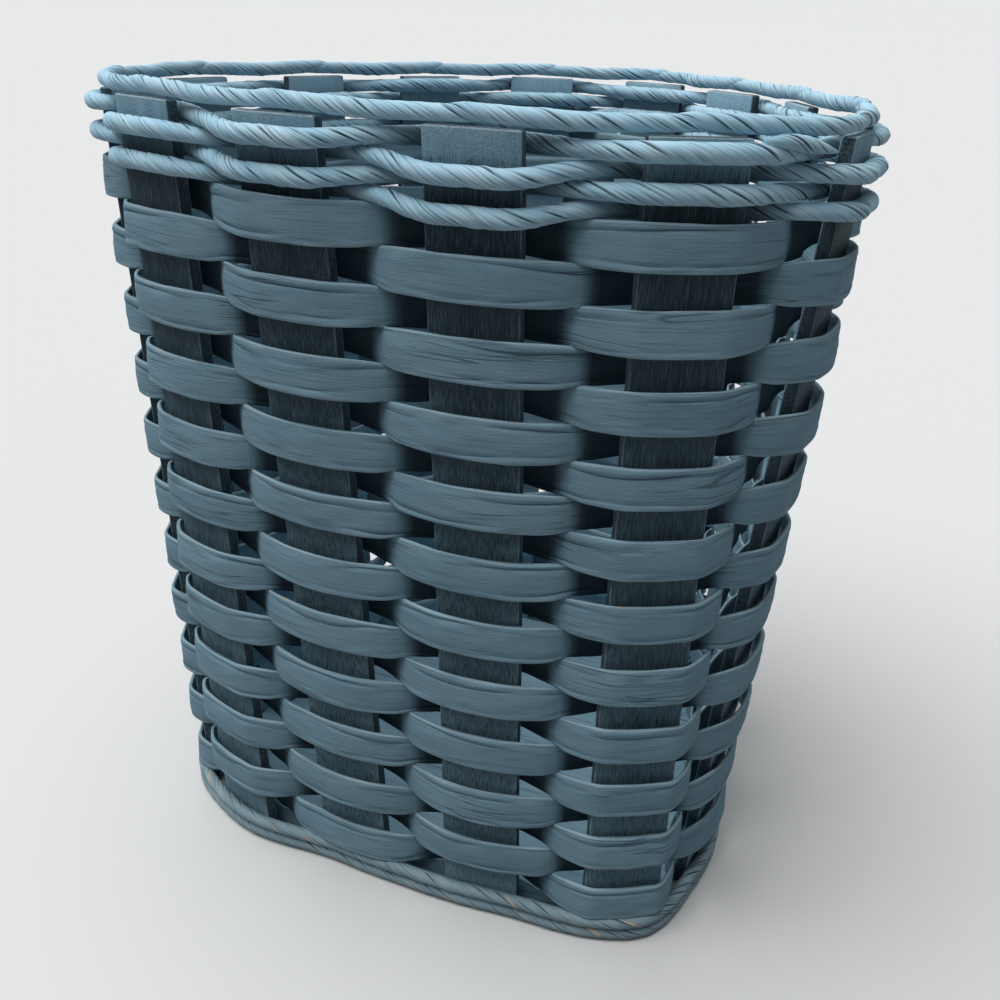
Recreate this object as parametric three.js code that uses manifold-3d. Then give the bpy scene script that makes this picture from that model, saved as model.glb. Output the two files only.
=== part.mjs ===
// Wastepaper basket: flat wooden stakes round a board base, woven with flat fibre strips,
// finished with twisted paper cord at the rim and at the foot.
// Millimetres, +Z up. The origin is the middle of the footprint, on the floor; -Y is the front.

import * as THREE from 'three';
import { mergeVertices } from 'three/addons/utils/BufferGeometryUtils.js';
import Module from 'manifold-3d';

// Outline of the stakes' outer faces at the floor and at the stake tops: superellipses, wider than
// their half width before the middle and narrower behind it by a share that grows with the depth
const footHalfWidth = 99;
const footHalfDepth = 100.5;
const footSquareness = 4.15;
const footNarrowing = 0.185;
const rimHalfWidth = 122.5;
const rimHalfDepth = 128;
const rimSquareness = 2;
const rimNarrowing = 0.42;

// The outlines' middle, set so that the finished basket is centred on the origin
const middleX = 0.65;
const middleY = 0.5;

// Stakes: four stand across the front, a little right of its middle, the two front corners have
// their own spacings and the others share the way round evenly; they lean, each foot further round
const stakeCount = 14;
const frontStakeCount = 4;
const frontStakeShift = 5.4;
const frontStakeSpacing = 61;
const rightCornerSpacing = 61;
const leftCornerSpacing = 52;
const stakeLean = 5.3;
const stakeWidth = 28.5;
const stakeThickness = 4.5;
const stakeFootGap = 1;
const stakeTopMargin = 4;

// Flat fibre strips, one closed row each, over one stake and under the next; each bows off its
// stake in the middle and folds to a lesser height where it crosses its neighbours
const stripRowCount = 21;
const stripHeight = 12.7;
const stripThickness = 1;
const stripFold = 1.2;
const stripBow = 2.5;

// Twisted paper cord: woven rows over the strips, one turn on the stake tops, two round the foot
const wovenCordRowCount = 4;
const wovenCordDiameter = 6;
const wovenCordFlattening = 1.2;
const rimCordDiameter = 6.2;
const rimCordSag = 1;
const footCordDiameter = 4.8;
const footCordTurnGap = 0.5;
const footCordEndSetback = 4;

// Base board and the brads that hold each stake's foot to its edge
const baseThickness = 8;
const baseLift = 1;
const bradLength = 16;
const bradShankDiameter = 1.6;
const bradHeadDiameter = 2.6;
const bradHeadThickness = 0.8;
const bradPointLength = 2;
const bradSetDepth = 0.3;

// Clearances
const seatGap = 0.3;
const rowGap = 0.5;
const bradClearance = 0.3;

const cordSides = 6;
const bradSides = 6;
const baseOutlinePoints = 80;
const outlineSamples = 2880;

const paintedWood = new THREE.MeshStandardMaterial({ color: 0x6d838c, roughness: 0.85, metalness: 0 });
const paintedFibre = new THREE.MeshStandardMaterial({ color: 0x70868f, roughness: 0.8, metalness: 0 });
const paintedCord = new THREE.MeshStandardMaterial({ color: 0x7b939e, roughness: 0.8, metalness: 0 });
const baseWood = new THREE.MeshStandardMaterial({ color: 0x6a7f88, roughness: 0.9, metalness: 0 });
const steel = new THREE.MeshStandardMaterial({ color: 0x8c8f92, roughness: 0.45, metalness: 1 });

// Heights of everything that is stacked up the wall
const footCordLowZ = footCordDiameter / 2;
const footCordHighZ = footCordLowZ + footCordDiameter + footCordTurnGap;
const footCordTop = footCordHighZ + footCordDiameter / 2;
const baseTop = baseLift + baseThickness;
const stripPitch = stripHeight - stripFold + rowGap;
const firstStripZ = Math.max(footCordTop, baseTop) + rowGap + stripHeight / 2;
const lastStripZ = firstStripZ + (stripRowCount - 1) * stripPitch;
const cordCrossingHeight = wovenCordDiameter - wovenCordFlattening;
const cordPitch = cordCrossingHeight + rowGap;
const firstCordZ = lastStripZ + (stripHeight - stripFold) / 2 + rowGap + cordCrossingHeight / 2;
const lastCordZ = firstCordZ + (wovenCordRowCount - 1) * cordPitch;
const stakeTop = lastCordZ + stakeTopMargin;
const rimCordZ = stakeTop + seatGap + rimCordDiameter / 2;

// An outline walked by length, anticlockwise from the middle of the front
function outline(halfWidth, halfDepth, squareness, narrowing) {
  const points = [];
  for (let i = 0; i <= outlineSamples; i += 1) {
    const angle = (i / outlineSamples - 0.25) * 2 * Math.PI;
    const c = Math.cos(angle);
    const s = Math.sin(angle);
    const x = halfWidth * Math.sign(c) * Math.abs(c) ** (2 / squareness);
    const y = halfDepth * Math.sign(s) * Math.abs(s) ** (2 / squareness);
    points.push(new THREE.Vector2(middleX + x * (1 - (narrowing * y) / halfDepth), middleY + y));
  }
  const lengths = [0];
  for (let i = 1; i <= outlineSamples; i += 1) {
    lengths.push(lengths[i - 1] + points[i].distanceTo(points[i - 1]));
  }
  return { points, lengths, perimeter: lengths[outlineSamples] };
}

function pointAt(line, share) {
  const target = (share - Math.floor(share)) * line.perimeter;
  let low = 0;
  let high = outlineSamples;
  while (high - low > 1) {
    const middle = (low + high) >> 1;
    if (line.lengths[middle] <= target) low = middle;
    else high = middle;
  }
  const step = (target - line.lengths[low]) / (line.lengths[high] - line.lengths[low]);
  return line.points[low].clone().lerp(line.points[high], step);
}

function tangentAt(line, share) {
  const half = stakeWidth / 4 / line.perimeter;
  return pointAt(line, share + half).sub(pointAt(line, share - half)).normalize();
}

const footLine = outline(footHalfWidth, footHalfDepth, footSquareness, footNarrowing);
const rimLine = outline(rimHalfWidth, rimHalfDepth, rimSquareness, rimNarrowing);

// Where each stake stands, as a share of the way round from the middle of the front
const frontShare = frontStakeSpacing / rimLine.perimeter;
const rightShare = rightCornerSpacing / rimLine.perimeter;
const leftShare = leftCornerSpacing / rimLine.perimeter;
const frontSpan = (frontStakeCount - 1) * frontShare;
const otherSpacings = stakeCount - frontStakeCount - 1;
const otherShare = (1 - frontSpan - rightShare - leftShare) / otherSpacings;
const leanShare = stakeLean / rimLine.perimeter;
const frontStart = frontStakeShift / rimLine.perimeter - frontSpan / 2;

function stakeShare(index) {
  if (index < frontStakeCount) return frontStart + index * frontShare;
  return frontStart + frontSpan + rightShare + (index - frontStakeCount) * otherShare;
}

const stakes = [];
for (let index = 0; index < stakeCount; index += 1) {
  const topShare = stakeShare(index);
  const footShare = topShare + leanShare;
  const along = tangentAt(footLine, footShare).add(tangentAt(rimLine, topShare)).normalize();
  const out = new THREE.Vector2(along.y, -along.x);
  stakes.push({ foot: pointAt(footLine, footShare), rim: pointAt(rimLine, topShare), along, out });
}

function stakeAt(index) {
  return stakes[(index + stakeCount) % stakeCount];
}

// A point beside a stake: u along its width, v out from its outer face, z up
function stakePoint(index, u, v, z) {
  const stake = stakeAt(index);
  const p = stake.foot.clone().lerp(stake.rim, z / stakeTop);
  p.addScaledVector(stake.along, u).addScaledVector(stake.out, v);
  return new THREE.Vector3(p.x, p.y, z);
}

// A point in the gap after a stake: share runs from this stake's edge to the next one's
function gapPoint(index, share, v, z) {
  const edge = stakeWidth / 2;
  const here = stakePoint(index, edge, 0, z);
  const next = stakePoint(index + 1, -edge, 0, z);
  const out = stakeAt(index).out.clone().lerp(stakeAt(index + 1).out, share).normalize();
  const p = here.lerp(next, share);
  return new THREE.Vector3(p.x + out.x * v, p.y + out.y * v, z);
}

// A solid swept through sections of equal point count; each runs anticlockwise in (v, z)
function sweep(sections, closed) {
  const count = sections[0].length;
  const positions = [];
  const indices = [];
  for (const section of sections) {
    for (const p of section) positions.push(p.x, p.y, p.z);
  }
  const spans = closed ? sections.length : sections.length - 1;
  for (let i = 0; i < spans; i += 1) {
    const here = i * count;
    const next = ((i + 1) % sections.length) * count;
    for (let j = 0; j < count; j += 1) {
      const k = (j + 1) % count;
      indices.push(here + j, next + j, next + k, here + j, next + k, here + k);
    }
  }
  if (!closed) {
    const last = (sections.length - 1) * count;
    for (let j = 1; j < count - 1; j += 1) {
      indices.push(0, j, j + 1, last, last + j + 1, last + j);
    }
  }
  const geometry = new THREE.BufferGeometry();
  geometry.setAttribute('position', new THREE.Float32BufferAttribute(positions, 3));
  geometry.setIndex(indices);
  geometry.computeVertexNormals();
  return geometry;
}

// Cord section with a flat below and above: height is across the flats, corners point in and out
const cornerReach = 1 / Math.cos(Math.PI / cordSides);

function cordSection(place, v, z, width, height) {
  const section = [];
  for (let j = 0; j < cordSides; j += 1) {
    const angle = (j / cordSides) * 2 * Math.PI;
    const dv = 0.5 * width * cornerReach * Math.cos(angle);
    const dz = 0.5 * height * cornerReach * Math.sin(angle);
    section.push(place(v + dv, z + dz));
  }
  return section;
}

function stripSection(place, v, z, height) {
  const dv = stripThickness / 2;
  const dz = height / 2;
  return [place(v + dv, z - dz), place(v + dv, z + dz), place(v - dv, z + dz), place(v - dv, z - dz)];
}

function passesOutside(row, index) {
  return (row + index) % 2 === 1;
}

const bendU = stakeWidth / 2 + seatGap;
const wallMiddle = -stakeThickness / 2;

// A woven row: past one side of each stake, then through the wall to the other side of the next
function wovenRow(row, reach, bends, makeSection) {
  const sections = [];
  for (let index = 0; index < stakeCount; index += 1) {
    const outside = passesOutside(row, index);
    for (const { u, bow } of bends) {
      const off = seatGap + reach + bow;
      const v = outside ? off : -stakeThickness - off;
      sections.push(makeSection((dv, dz) => stakePoint(index, u, dv, dz), v, false));
    }
    sections.push(makeSection((dv, dz) => gapPoint(index, 0.5, dv, dz), wallMiddle, true));
  }
  return sweep(sections, true);
}

function stripRow(row) {
  const z = firstStripZ + row * stripPitch;
  const bends = [{ u: -bendU, bow: 0 }, { u: 0, bow: stripBow }, { u: bendU, bow: 0 }];
  return wovenRow(row, stripThickness / 2, bends, (place, v, crossing) => {
    const height = crossing ? stripHeight - stripFold : stripHeight;
    return stripSection(place, v, z, height);
  });
}

function cordRow(row) {
  const z = firstCordZ + row * cordPitch;
  const reach = 0.5 * wovenCordDiameter * cornerReach;
  const bends = [{ u: -bendU, bow: 0 }, { u: bendU, bow: 0 }];
  return wovenRow(stripRowCount + row, reach, bends, (place, v, crossing) => {
    const height = crossing ? cordCrossingHeight : wovenCordDiameter;
    return cordSection(place, v, z, wovenCordDiameter, height);
  });
}

// One turn of cord on the stake tops, dipping a little between them
function rimCord() {
  const sections = [];
  for (let index = 0; index < stakeCount; index += 1) {
    for (const u of [-stakeWidth / 2, stakeWidth / 2]) {
      const place = (v, z) => stakePoint(index, u, v, z);
      sections.push(cordSection(place, wallMiddle, rimCordZ, rimCordDiameter, rimCordDiameter));
    }
    const place = (v, z) => gapPoint(index, 0.5, v, z);
    sections.push(cordSection(place, wallMiddle, rimCordZ - rimCordSag, rimCordDiameter, rimCordDiameter));
  }
  return sweep(sections, true);
}

// One cord wound twice round the foot: it starts in a gap at the back, and climbs in that gap
const footCordV = seatGap + 0.5 * footCordDiameter * cornerReach;
const climbStake = Math.round((stakeCount + frontStakeCount) / 2);

function footCordStops() {
  const stops = [{ index: climbStake, share: 0.6, z: footCordLowZ }];
  stops.push({ index: climbStake, share: 0.85, z: footCordLowZ });
  for (let step = 1; step <= stakeCount; step += 1) {
    const index = climbStake + step;
    stops.push({ index, u: -bendU, z: footCordLowZ });
    if (step < stakeCount) stops.push({ index, u: bendU, z: footCordLowZ });
  }
  stops.push({ index: climbStake, u: stakeWidth / 2 - footCordEndSetback / 2, z: footCordLowZ });
  stops.push({ index: climbStake, share: 0.5, z: footCordHighZ });
  stops.push({ index: climbStake, share: 0.85, z: footCordHighZ });
  for (let step = 1; step <= stakeCount; step += 1) {
    const index = climbStake + step;
    stops.push({ index, u: -bendU, z: footCordHighZ });
    if (step < stakeCount) stops.push({ index, u: bendU, z: footCordHighZ });
  }
  stops.push({ index: climbStake, u: stakeWidth / 2 - 2 * footCordEndSetback, z: footCordHighZ });
  return stops;
}

function footCordPoint(stop, v, z) {
  if (stop.share === undefined) return stakePoint(stop.index, stop.u, v, z);
  return gapPoint(stop.index, stop.share, v, z);
}

// Least gap between stretches of the cord that lie further apart along it than the climb is long
function leastGapToItself(centres, diameter) {
  const points = [];
  let travelled = 0;
  for (let i = 1; i < centres.length; i += 1) {
    const length = centres[i].distanceTo(centres[i - 1]);
    const steps = Math.ceil(length);
    for (let k = 0; k < steps; k += 1) {
      const point = centres[i - 1].clone().lerp(centres[i], k / steps);
      points.push({ point, at: travelled + (length * k) / steps });
    }
    travelled += length;
  }
  let least = Infinity;
  for (const a of points) {
    for (const b of points) {
      if (b.at - a.at > 4 * diameter) least = Math.min(least, a.point.distanceTo(b.point) - diameter);
    }
  }
  return least;
}

function footCord() {
  const stops = footCordStops();
  const centres = stops.map((stop) => footCordPoint(stop, footCordV, stop.z));
  const gap = leastGapToItself(centres, footCordDiameter);
  console.log(`foot cord: least gap to itself ${gap.toFixed(2)} mm`);
  const sections = stops.map((stop) => {
    const place = (v, z) => footCordPoint(stop, v, z);
    return cordSection(place, footCordV, stop.z, footCordDiameter, footCordDiameter);
  });
  return sweep(sections, false);
}

// Stakes are straight boards, sawn level at both ends
function stakeBlank(index, grow) {
  const across = stakeWidth / 2 + grow;
  const corners = [[across, grow], [-across, grow], [-across, -stakeThickness - grow], [across, -stakeThickness - grow]];
  const levels = [stakeFootGap - grow, stakeTop + grow];
  const sections = levels.map((z) => corners.map(([u, v]) => stakePoint(index, u, v, z)));
  return sweep(sections, false);
}

// A brad lies along its own +Y, from the head's face at 0 to the point; grow makes its hole
function bradBlank(grow) {
  const head = bradHeadDiameter / 2 + grow;
  const shank = bradShankDiameter / 2 + grow;
  const face = grow > 0 ? -stakeThickness : 0;
  const neck = bradHeadThickness + grow;
  const profile = [
    new THREE.Vector2(0, face),
    new THREE.Vector2(head, face),
    new THREE.Vector2(head, neck),
    new THREE.Vector2(shank, neck),
    new THREE.Vector2(shank, bradLength - bradPointLength + grow),
    new THREE.Vector2(0, bradLength + grow),
  ];
  return new THREE.LatheGeometry(profile, bradSides);
}

const bradZ = baseLift + baseThickness / 2;

function placeBrad(object, index) {
  const { out } = stakeAt(index);
  const inward = new THREE.Vector3(-out.x, -out.y, 0);
  object.position.copy(stakePoint(index, 0, -bradSetDepth, bradZ));
  object.quaternion.setFromUnitVectors(new THREE.Vector3(0, 1, 0), inward);
  object.updateMatrix();
}

const wasm = await Module();
wasm.setup();

function toSolid(geometry) {
  const bare = geometry.clone();
  bare.deleteAttribute('normal');
  bare.deleteAttribute('uv');
  const merged = mergeVertices(bare, 1e-4);
  const vertProperties = Float32Array.from(merged.attributes.position.array);
  const triVerts = Uint32Array.from(merged.index.array);
  return new wasm.Manifold(new wasm.Mesh({ numProp: 3, vertProperties, triVerts }));
}

function toGeometry(solid) {
  const mesh = solid.getMesh();
  const geometry = new THREE.BufferGeometry();
  geometry.setAttribute('position', new THREE.Float32BufferAttribute(mesh.vertProperties, 3));
  geometry.setIndex(Array.from(mesh.triVerts));
  geometry.computeVertexNormals();
  return geometry;
}

function bradHole(index) {
  const holder = new THREE.Object3D();
  placeBrad(holder, index);
  return toSolid(bradBlank(bradClearance).applyMatrix4(holder.matrix));
}

function stake(index) {
  return toGeometry(toSolid(stakeBlank(index, 0)).subtract(bradHole(index)));
}

// The board fills the foot outline inside the stakes and is eased where a stake needs room
function baseBoard() {
  const inset = stakeThickness + seatGap;
  const line = outline(footHalfWidth - inset, footHalfDepth - inset, footSquareness, footNarrowing);
  const points = [];
  for (let i = 0; i < baseOutlinePoints; i += 1) points.push(pointAt(line, i / baseOutlinePoints));
  const blank = new THREE.ExtrudeGeometry(new THREE.Shape(points), { depth: baseThickness, bevelEnabled: false });
  let board = toSolid(blank.translate(0, 0, baseLift));
  for (let index = 0; index < stakeCount; index += 1) {
    board = board.subtract(toSolid(stakeBlank(index, seatGap))).subtract(bradHole(index));
  }
  return toGeometry(board);
}

const basket = new THREE.Group();

function addPiece(parent, name, geometry, material) {
  const mesh = new THREE.Mesh(geometry, material);
  mesh.name = name;
  parent.add(mesh);
  return mesh;
}

function twoDigits(number) {
  return String(number).padStart(2, '0');
}

const frame = new THREE.Group();
basket.add(frame);
addPiece(frame, 'base_board', baseBoard(), baseWood);
for (let index = 0; index < stakeCount; index += 1) {
  addPiece(frame, `stake_${twoDigits(index + 1)}`, stake(index), paintedWood);
  placeBrad(addPiece(frame, `brad_${twoDigits(index + 1)}`, bradBlank(0), steel), index);
}

const weave = new THREE.Group();
basket.add(weave);
for (let row = 0; row < stripRowCount; row += 1) {
  addPiece(weave, `flat_weaver_${twoDigits(row + 1)}`, stripRow(row), paintedFibre);
}
for (let row = 0; row < wovenCordRowCount; row += 1) {
  addPiece(weave, `cord_weaver_${row + 1}`, cordRow(row), paintedCord);
}

const trim = new THREE.Group();
basket.add(trim);
addPiece(trim, 'rim_cord', rimCord(), paintedCord);
addPiece(trim, 'foot_cord', footCord(), paintedCord);

export default basket;
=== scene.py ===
import math

import bpy
import numpy as np
from mathutils import Matrix, Vector


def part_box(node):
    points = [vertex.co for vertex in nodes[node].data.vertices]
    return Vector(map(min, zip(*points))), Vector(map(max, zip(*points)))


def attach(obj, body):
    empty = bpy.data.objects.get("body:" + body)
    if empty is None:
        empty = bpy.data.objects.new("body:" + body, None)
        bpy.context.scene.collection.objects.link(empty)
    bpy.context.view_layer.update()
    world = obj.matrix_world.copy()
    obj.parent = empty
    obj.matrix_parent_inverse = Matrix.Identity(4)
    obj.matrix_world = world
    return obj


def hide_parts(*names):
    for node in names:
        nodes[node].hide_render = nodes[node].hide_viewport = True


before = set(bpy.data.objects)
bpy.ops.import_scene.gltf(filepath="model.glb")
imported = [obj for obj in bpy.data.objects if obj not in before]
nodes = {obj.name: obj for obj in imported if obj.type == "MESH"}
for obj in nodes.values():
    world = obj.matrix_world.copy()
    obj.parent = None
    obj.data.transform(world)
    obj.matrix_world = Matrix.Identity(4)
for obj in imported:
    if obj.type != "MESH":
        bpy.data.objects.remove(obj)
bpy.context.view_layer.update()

# The dressed wastepaper basket: every strip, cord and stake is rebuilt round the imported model's own
# stakes and rows. Metres, +Z up, -Y is the front; millimetres are written as numbers times MM.
MM = 0.001
random = np.random.default_rng(20)

STAKE_COUNT = 14
STRIP_COUNT = 21
CORD_COUNT = 4

# Flat fibre strips
STRIP_THICKNESS = 1.1 * MM
STRIP_BOW = 4.2 * MM
STRIP_CLEARANCE = 0.35 * MM
STRIP_SPREAD = 0.6 * MM
STRIP_CROSSING_SHRINK = 1.4 * MM
STRIP_TURN_SHARE = 0.36
STRIP_CROSSING_SHARE = 0.56
STRIP_BEHIND_SHARE = 0.74
STRIP_TURN_OFF = 1.0 * MM
STRIP_CURL = -0.35 * MM
STRIP_STEP = 2.2 * MM
STRIP_STAKE_INSET = 0.5 * MM
STRIP_UNEVEN_BOW = 0.5 * MM
STRIP_UNEVEN_LIFT = 0.5 * MM
STRIP_UNEVEN_TILT = 0.06
STRIP_BOW_SHARES = ((-1.0, 0.66), (-0.5, 0.92), (0.0, 1.0), (0.5, 0.92), (1.0, 0.66))
STRIP_UV_STEP = (1.7, 0.31)

# Twisted paper cord
CORD_RADIUS = 2.85 * MM
CORD_CROSSING_RADIUS = 2.35 * MM
RIM_RADIUS = 2.4 * MM
FOOT_RADIUS = 2.4 * MM
CORD_LAY = 29 * MM
CORD_COLUMNS = 48
CORD_GROOVES = (0, 5, 9, 17, 22, 26, 34, 41)
CORD_GROOVE_STRENGTHS = (1.0, 0.35, 0.85, 0.25, 1.0, 0.4, 0.9, 0.3)
CORD_STEP = 1.3 * MM
CORD_GROOVE_DEPTH = 0.36
CORD_PILLOW = 0.10
CORD_ROUGHNESS = 0.012
CORD_STAKE_INSET = 2 * MM
CORD_CLEARANCE = 0.3 * MM
CORD_BOW = 0.5 * MM
CORD_UV_STEP = (2.3, 0.17)
CORD_UV_START = 40

# Stake boards
BOARD_EASE = 0.55 * MM
BOARD_END_STEP = 0.2 * MM
BOARD_STEP = 6 * MM
BOARD_END_SHRINKS = (0.7, 0.25)
BOARD_WOBBLE = 0.12 * MM
BOARD_NARROWING = 0.15 * MM
BOARD_UV_STEP = 0.9


# Smooth noise

def wander(length, positions, shortest, longest, waves=14):
    """A smooth seeded wander between about -1 and 1 that closes on itself after length."""
    counts = random.uniform(length / longest, length / shortest, waves).round().clip(1)
    phases = random.uniform(0, 2 * math.pi, waves)
    weights = random.uniform(0.5, 1.0, waves)
    angles = 2 * math.pi * np.outer(positions / length, counts) + phases
    return np.sin(angles) @ weights / math.sqrt((weights ** 2).sum())


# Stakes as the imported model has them

class Stake:
    """Centre line, directions and size of one packed stake; u runs along its width, v out from its face."""

    def __init__(self, node):
        points = np.array([vertex.co[:] for vertex in node.data.vertices])
        heights = points[:, 2]
        top = np.unique(points[heights > heights.max() - 0.01 * MM].round(6), axis=0)
        foot = points[heights < heights.min() + 0.01 * MM]
        order = np.argsort(np.linalg.norm(top - top[0], axis=1))
        self.thickness = np.linalg.norm(top[order[1]] - top[0])
        self.width = np.linalg.norm(top[order[2]] - top[0])
        self.top = (top.min(axis=0) + top.max(axis=0)) / 2
        self.foot = (foot.min(axis=0) + foot.max(axis=0)) / 2
        out = (top[order[1]] - top[0]) / self.thickness
        self.out = out if out @ self.top > 0 else -out
        self.along = np.array([-self.out[1], self.out[0], 0.0])

    def point(self, u, v, z):
        share = (z - self.foot[2]) / (self.top[2] - self.foot[2])
        centre = self.foot + (self.top - self.foot) * share
        return centre + self.along * u + self.out * (v + self.thickness / 2)


stakes = [Stake(nodes["stake_%02d" % (number + 1)]) for number in range(STAKE_COUNT)]
WALL = stakes[0].thickness
HALF_WIDTH = stakes[0].width / 2


def stake_at(index):
    return stakes[index % STAKE_COUNT]


def gap_point(index, share, v, z):
    """A point in the gap after a stake; share runs from its edge to the next one's."""
    here = stake_at(index)
    following = stake_at(index + 1)
    out = here.out * (1 - share) + following.out * share
    out = out / np.linalg.norm(out)
    start = here.point(HALF_WIDTH, 0, z)
    end = following.point(-HALF_WIDTH, 0, z)
    return start + (end - start) * share + out * v


def passes_outside(row, index):
    return (row + index) % 2 == 1


def middle_height(name):
    low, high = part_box(name)
    return (low.z + high.z) / 2


# Curves through control rows: x, y, z and any further channels

def hermite(start, end, slope_start, slope_end, chord, share):
    cube = share ** 3
    square = share ** 2
    return ((2 * cube - 3 * square + 1) * start + (cube - 2 * square + share) * chord * slope_start
            + (3 * square - 2 * cube) * end + (cube - square) * chord * slope_end)


def smooth_path(controls, step, closed, substeps=12):
    """Evenly spaced rows on a smooth curve through the controls, and how far along it each lies."""
    points = np.asarray(controls, dtype=float)
    following = np.roll(points, -1, axis=0)
    chords = np.linalg.norm((following - points)[:, :3], axis=1)[:, None]
    before = np.roll(chords, 1, axis=0)
    slopes = (following - np.roll(points, 1, axis=0)) / (chords + before)
    if not closed:
        slopes[0] = (points[1] - points[0]) / chords[0]
        slopes[-1] = (points[-1] - points[-2]) / chords[-2]
    shares = np.arange(substeps)[:, None, None] / substeps
    dense = hermite(points, following, slopes, np.roll(slopes, -1, axis=0), chords, shares)
    dense = dense.transpose(1, 0, 2).reshape(-1, points.shape[1])
    dense = np.vstack([dense, points[:1]]) if closed else np.vstack([dense[:-substeps], points[-1:]])
    travelled = np.concatenate([[0], np.cumsum(np.linalg.norm(np.diff(dense[:, :3], axis=0), axis=1))])
    length = travelled[-1]
    count = max(4, round(length / step))
    places = np.arange(count if closed else count + 1) * length / count
    rows = np.stack([np.interp(places, travelled, channel) for channel in dense.T], axis=1)
    return rows, places, length


def path_frames(rows, closed):
    """Unit vectors outward and upward from the path at each row."""
    points = rows[:, :3]
    if closed:
        along = np.roll(points, -1, axis=0) - np.roll(points, 1, axis=0)
    else:
        along = np.gradient(points, axis=0)
    along /= np.linalg.norm(along, axis=1)[:, None]
    out = np.stack([along[:, 1], -along[:, 0], np.zeros(len(along))], axis=1)
    out /= np.linalg.norm(out, axis=1)[:, None]
    return out, np.cross(out, along)


# Meshes

class Skin:
    """Section rings joined into closed tubes, with a UV map in metres and named marks per point."""

    def __init__(self):
        self.points = []
        self.faces = []
        self.uvs = []
        self.marks = {}

    def add(self, sections, places, length, around, closed, **marks):
        """sections is (count, points, 3); around is each point's place across the sheet or the lay."""
        count, size, _ = sections.shape
        base = sum(len(block) for block in self.points)
        self.points.append(sections.reshape(-1, 3))
        for mark, values in marks.items():
            self.marks.setdefault(mark, []).append(values.reshape(-1))
        spans = count if closed else count - 1
        i = np.repeat(np.arange(spans), size)
        j = np.tile(np.arange(size), spans)
        i_next = (i + 1) % count
        j_next = (j + 1) % size
        corners = [(i, j), (i_next, j), (i_next, j_next), (i, j_next)]
        self.faces += np.stack([base + a * size + b for a, b in corners], axis=1).tolist()
        ends = np.append(places, length)
        rim = np.append(around, 2 * around[-1] - around[-2])
        u = np.stack([ends[i], ends[i + 1], ends[i + 1], ends[i]], axis=1)
        v = np.stack([rim[j], rim[j], rim[j + 1], rim[j + 1]], axis=1)
        self.uvs.append(np.stack([u, v], axis=2).reshape(-1, 2))
        if not closed:
            last = base + (count - 1) * size
            self.cap([base + k for k in range(size)], (0.0, 0.0))
            self.cap([last + k for k in reversed(range(size))], (length, 0.0))

    def cap(self, ring, uv):
        self.faces.append(ring)
        self.uvs.append(np.tile(np.array(uv), (len(ring), 1)))

    def build(self, name, material, shift):
        """The finished object; shift moves the UV map so that no two pieces show the same marks."""
        mesh = bpy.data.meshes.new(name)
        mesh.from_pydata(np.vstack(self.points).tolist(), [], self.faces)
        layer = mesh.uv_layers.new(name="UVMap")
        layer.data.foreach_set("uv", (np.vstack(self.uvs) + shift).ravel())
        for mark, blocks in self.marks.items():
            layer = mesh.attributes.new(mark, "FLOAT", "POINT")
            layer.data.foreach_set("value", np.concatenate(blocks))
        mesh.polygons.foreach_set("use_smooth", [True] * len(mesh.polygons))
        mesh.update()
        piece = bpy.data.objects.new(name, mesh)
        bpy.context.scene.collection.objects.link(piece)
        piece.data.materials.append(material)
        return piece


def hand_over(piece, slot, *replaced):
    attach(piece, "root")
    if replaced:
        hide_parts(*replaced)


# Materials

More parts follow.
